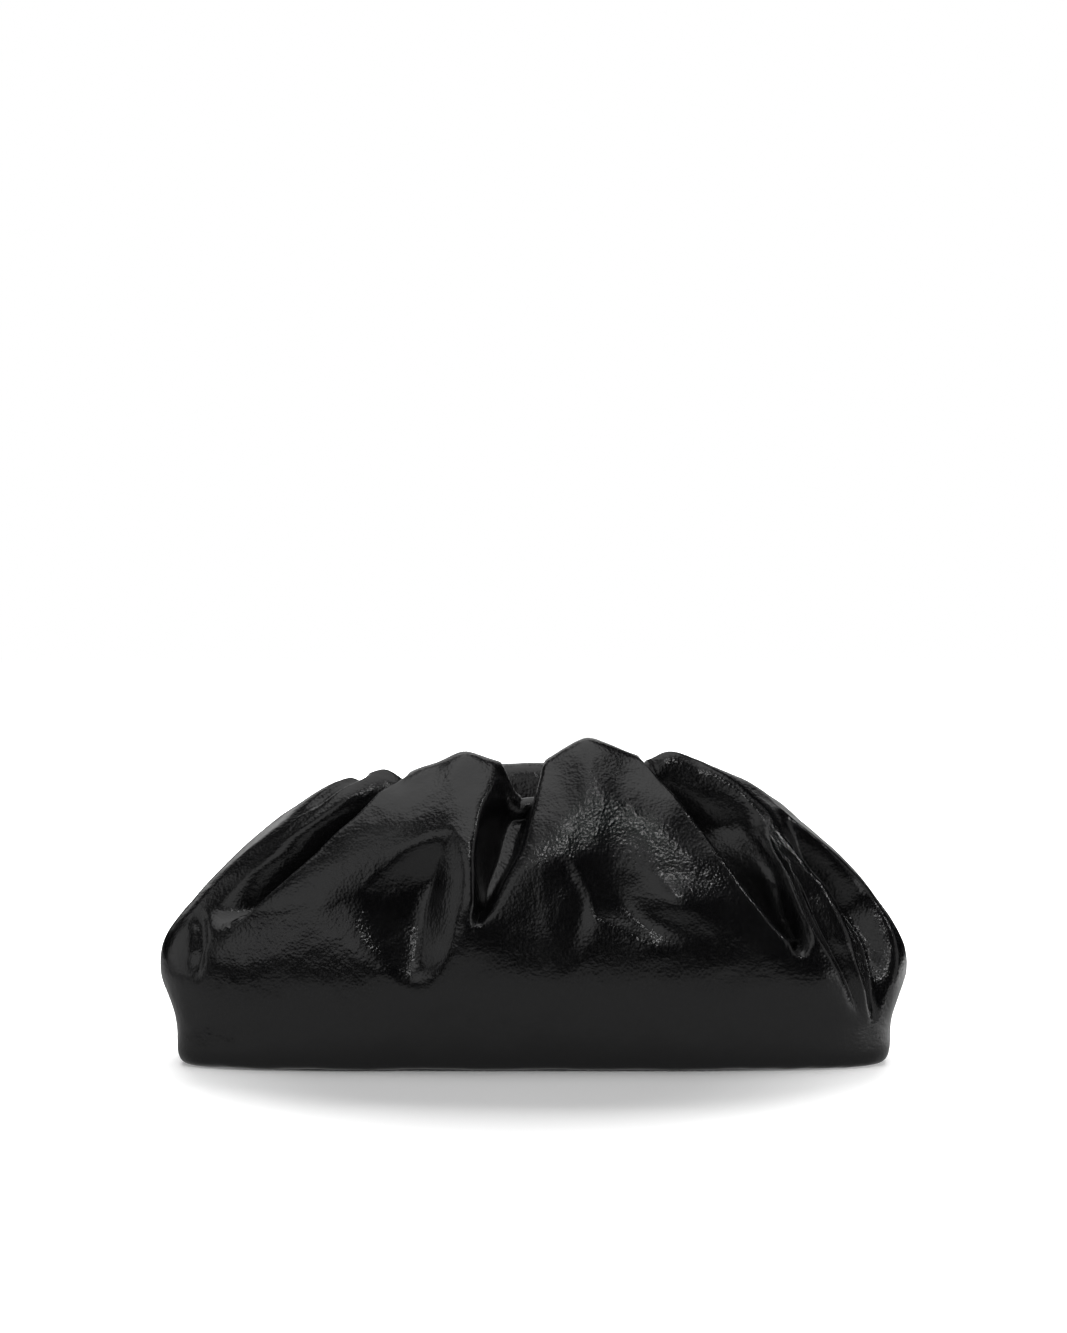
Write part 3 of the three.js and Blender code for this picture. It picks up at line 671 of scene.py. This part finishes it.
leather = leather_material()
front = leather_panel("front_leather", FRONT, leather)
back = leather_panel("back_leather", BACK, leather)
base = base_panel("base_leather", leather)
for piece, node in ((front, "front_panel"), (back, "back_panel"), (base, "base_panel")):
    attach(piece, "root")
    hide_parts(node)
metal = metal_material()
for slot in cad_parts["mouth_frame"].material_slots:
    slot.material = metal

# The camera stands a little higher than the bag and shows it low in the picture. Sizes are in metres, and
# in pixels of a picture that is 1067 wide and 1333 high.
PHOTO_HEIGHT = 1333
BAG_PIXELS = 743
BAG_MIDDLE_ROW = 902.5
BAG_LENGTH = 0.300
METRES_PER_PIXEL = BAG_LENGTH / BAG_PIXELS
SENSOR_MM = 36
CAMERA_DISTANCE = 1.5
CAMERA_RISE = math.radians(6)
TARGET = Vector((0, 0, 0.062))


def add_camera():
    data = bpy.data.cameras.new("camera")
    data.sensor_width = SENSOR_MM
    data.lens = SENSOR_MM * CAMERA_DISTANCE / (PHOTO_HEIGHT * METRES_PER_PIXEL)
    back_to_camera = Vector((0, -math.cos(CAMERA_RISE), math.sin(CAMERA_RISE)))
    up = Vector((0, math.sin(CAMERA_RISE), math.cos(CAMERA_RISE)))
    lift = math.atan((BAG_MIDDLE_ROW - PHOTO_HEIGHT / 2) * METRES_PER_PIXEL / CAMERA_DISTANCE)
    aim = -back_to_camera * math.cos(lift) + up * math.sin(lift)
    camera = add_object("camera", data)
    camera.location = TARGET + back_to_camera * CAMERA_DISTANCE
    camera.rotation_mode = "QUATERNION"
    camera.rotation_quaternion = aim.to_track_quat("-Z", "Y")
    bpy.context.scene.camera = camera


add_camera()


# Stage and light. Half sizes of the floors and the drop of the mirrored one are in millimetres.
FLOOR_HALF = 4000.0
MIRRORED_FLOOR_HALF = 1500.0
MIRRORED_FLOOR_DROP = 1.0
# Painted light on the floors, as fades in metres: their middle, how much each direction counts, where they
# begin and end, and the value inside and outside.
# Painted glow of the floor: none near the bag, rising to full white farther out, and sooner toward the bag's
# ends.
PAINTED_FLOOR_GLOW = ((-0.01, 0, 0), (1.9, 1, 1), 0.13, 0.46, 0.0, 1.0)
# Painted reflection of the floor: pale near the bag, painted shadow where the bag meets the floor, and a
# paler patch on the right.
PAINTED_REFLECTION_NEAR_BAG = ((0, 0, 0), (0.7, 1, 1), 0.05, 1.2, 0.32, 0.05)
PAINTED_SHADOW_AT_CONTACT = ((0, 0, 0), (0.31, 1, 1), 0.044, 0.09, 0.6, 1.0)
PAINTED_REFLECTION_ON_RIGHT = ((0.6, 0.1, 0), (1, 1, 1), 0.2, 0.5, 0.9, 0.0)


def plane(name, half_size, z, material):
    corners = [(-1, -1), (1, -1), (1, 1), (-1, 1)]
    points = [(x * half_size, y * half_size, z) for x, y in corners]
    thing = mesh_object(name, points, [(0, 1, 2, 3)], material, rounded=False)
    return thing


def faded_by_distance(nodes, links, middle, stretch, near, far, inside, outside):
    """A value that goes from inside to outside between two distances from a place on the floor."""
    shift = [-at * by for at, by in zip(middle, stretch)]
    place = set_values(nodes.new("ShaderNodeMapping"), {"Location": shift, "Scale": stretch})
    links.new(nodes.new("ShaderNodeTexCoord").outputs["Object"], place.inputs["Vector"])
    reach = nodes.new("ShaderNodeVectorMath")
    reach.operation = "LENGTH"
    links.new(place.outputs["Vector"], reach.inputs[0])
    fade = nodes.new("ShaderNodeMapRange")
    fade.interpolation_type = "SMOOTHSTEP"
    set_values(fade, {"From Min": near, "From Max": far, "To Min": inside, "To Max": outside})
    links.new(reach.outputs["Value"], fade.inputs["Value"])
    return fade.outputs["Result"]


def floor_material():
    """Pale floor with painted light: it glows more the farther it lies from the bag, so it runs out into the
    white of the studio and the ends of the bag's shadow wash out.
    """
    material, nodes, links = new_material("pale_floor")
    shader = set_values(nodes["Principled BSDF"], FLOOR_LOOK)
    painted_glow = faded_by_distance(nodes, links, *PAINTED_FLOOR_GLOW)
    links.new(painted_glow, shader.inputs["Emission Strength"])
    return material


def painted_floor_reflection_material():
    """A painted reflection of the floor for the gloss: pale close to the bag and dark farther out, with
    painted shadow where the bag meets the floor and a paler patch on the right.
    """
    material, nodes, links = new_material("painted_floor_reflection")
    nodes.remove(nodes["Principled BSDF"])
    glow = nodes.new("ShaderNodeEmission")
    brightness = nodes.new("ShaderNodeMath")
    brightness.operation = "MULTIPLY_ADD"
    for k, fade in enumerate((PAINTED_REFLECTION_NEAR_BAG, PAINTED_SHADOW_AT_CONTACT, PAINTED_REFLECTION_ON_RIGHT)):
        links.new(faded_by_distance(nodes, links, *fade), brightness.inputs[k])
    links.new(brightness.outputs["Value"], glow.inputs["Strength"])
    links.new(glow.outputs["Emission"], nodes["Material Output"].inputs["Surface"])
    return material


floor = plane("floor", FLOOR_HALF, 0.0, floor_material())
floor.visible_glossy = False
# A plane that only the gloss sees, glowing with the painted reflection of the floor.
painted_reflection_floor = plane("painted_reflection_floor", MIRRORED_FLOOR_HALF, -MIRRORED_FLOOR_DROP, painted_floor_reflection_material())
painted_reflection_floor.visible_camera = False
painted_reflection_floor.visible_diffuse = False
painted_reflection_floor.visible_shadow = False
painted_reflection_floor.visible_transmission = False

world = bpy.data.worlds.new("white_studio")
bpy.context.scene.world = world
world.use_nodes = True
set_values(world.node_tree.nodes["Background"], {"Color": (1, 1, 1, 1), "Strength": 1.0})
world.cycles_visibility.glossy = False
world.cycles_visibility.diffuse = False

# Soft boxes round the bag: name, place and size in metres, brightness, and whether the gloss mirrors them.
SOFT_BOXES = [
    ("overhead", (-0.1, -0.1, 1.3), (2.0, 1.6), 0.95, True),
    ("front", (-0.75, -1.6, 1.0), (2.3, 1.6), 0.58, True),
    ("left", (-1.8, 0, 0.7), (2.4, 1.7), 0.42, True),
    ("right", (1.74, -0.47, 0.65), (1.9, 1.5), 0.36, True),
    ("right_low", (1.2, -0.9, 0.12), (1.0, 0.4), 1.1, True),
    ("behind", (0, 1.5, 1.0), (3.0, 2.0), 0.85, True),
    ("high_behind", (0, 1.44, 1.08), (1.4, 0.9), 16, False),
    ("sky", (0, -0.3, 1.8), (2.0, 2.0), 0.8, False),
    ("key", (0.19, -1.09, 1.16), (0.11, 0.11), 26, True),
    ("key_right", (1.0, -0.35, 1.1), (0.14, 0.14), 22, True),
]
# The middle of a soft box and the width of its fading edge, as shares of its side.
BOX_MIDDLE = 0.5
BOX_EDGE = 0.25


def fade_to_edges(light):
    """A soft box is brightest in the middle and fades out toward its edges."""
    light.use_nodes = True
    nodes = light.node_tree.nodes
    links = light.node_tree.links
    across = nodes.new("ShaderNodeSeparateXYZ")
    links.new(nodes.new("ShaderNodeNewGeometry").outputs["Parametric"], across.inputs["Vector"])
    shares = []
    for axis in "XY":
        inset = nodes.new("ShaderNodeMath")
        inset.operation = "PINGPONG"
        inset.inputs[1].default_value = BOX_MIDDLE
        links.new(across.outputs[axis], inset.inputs[0])
        share = nodes.new("ShaderNodeMapRange")
        share.interpolation_type = "SMOOTHSTEP"
        share.inputs["From Max"].default_value = BOX_EDGE
        links.new(inset.outputs["Value"], share.inputs["Value"])
        shares.append(share.outputs["Result"])
    both = nodes.new("ShaderNodeMath")
    both.operation = "MULTIPLY"
    links.new(shares[0], both.inputs[0])
    links.new(shares[1], both.inputs[1])
    links.new(both.outputs["Value"], nodes["Emission"].inputs["Strength"])


def soft_box(name, place, size, brightness, mirrored):
    light = bpy.data.lights.new(name, "AREA")
    light.shape = "RECTANGLE"
    light.size, light.size_y = size
    light.energy = brightness * math.pi * light.size * light.size_y
    if mirrored:
        fade_to_edges(light)
    box = add_object(name, light)
    box.location = place
    box.rotation_mode = "QUATERNION"
    box.rotation_quaternion = (TARGET - Vector(place)).to_track_quat("-Z", "Y")
    box.visible_camera = False
    box.visible_glossy = mirrored


for row in SOFT_BOXES:
    soft_box(*row)
bpy.context.scene.view_settings.view_transform = "Standard"
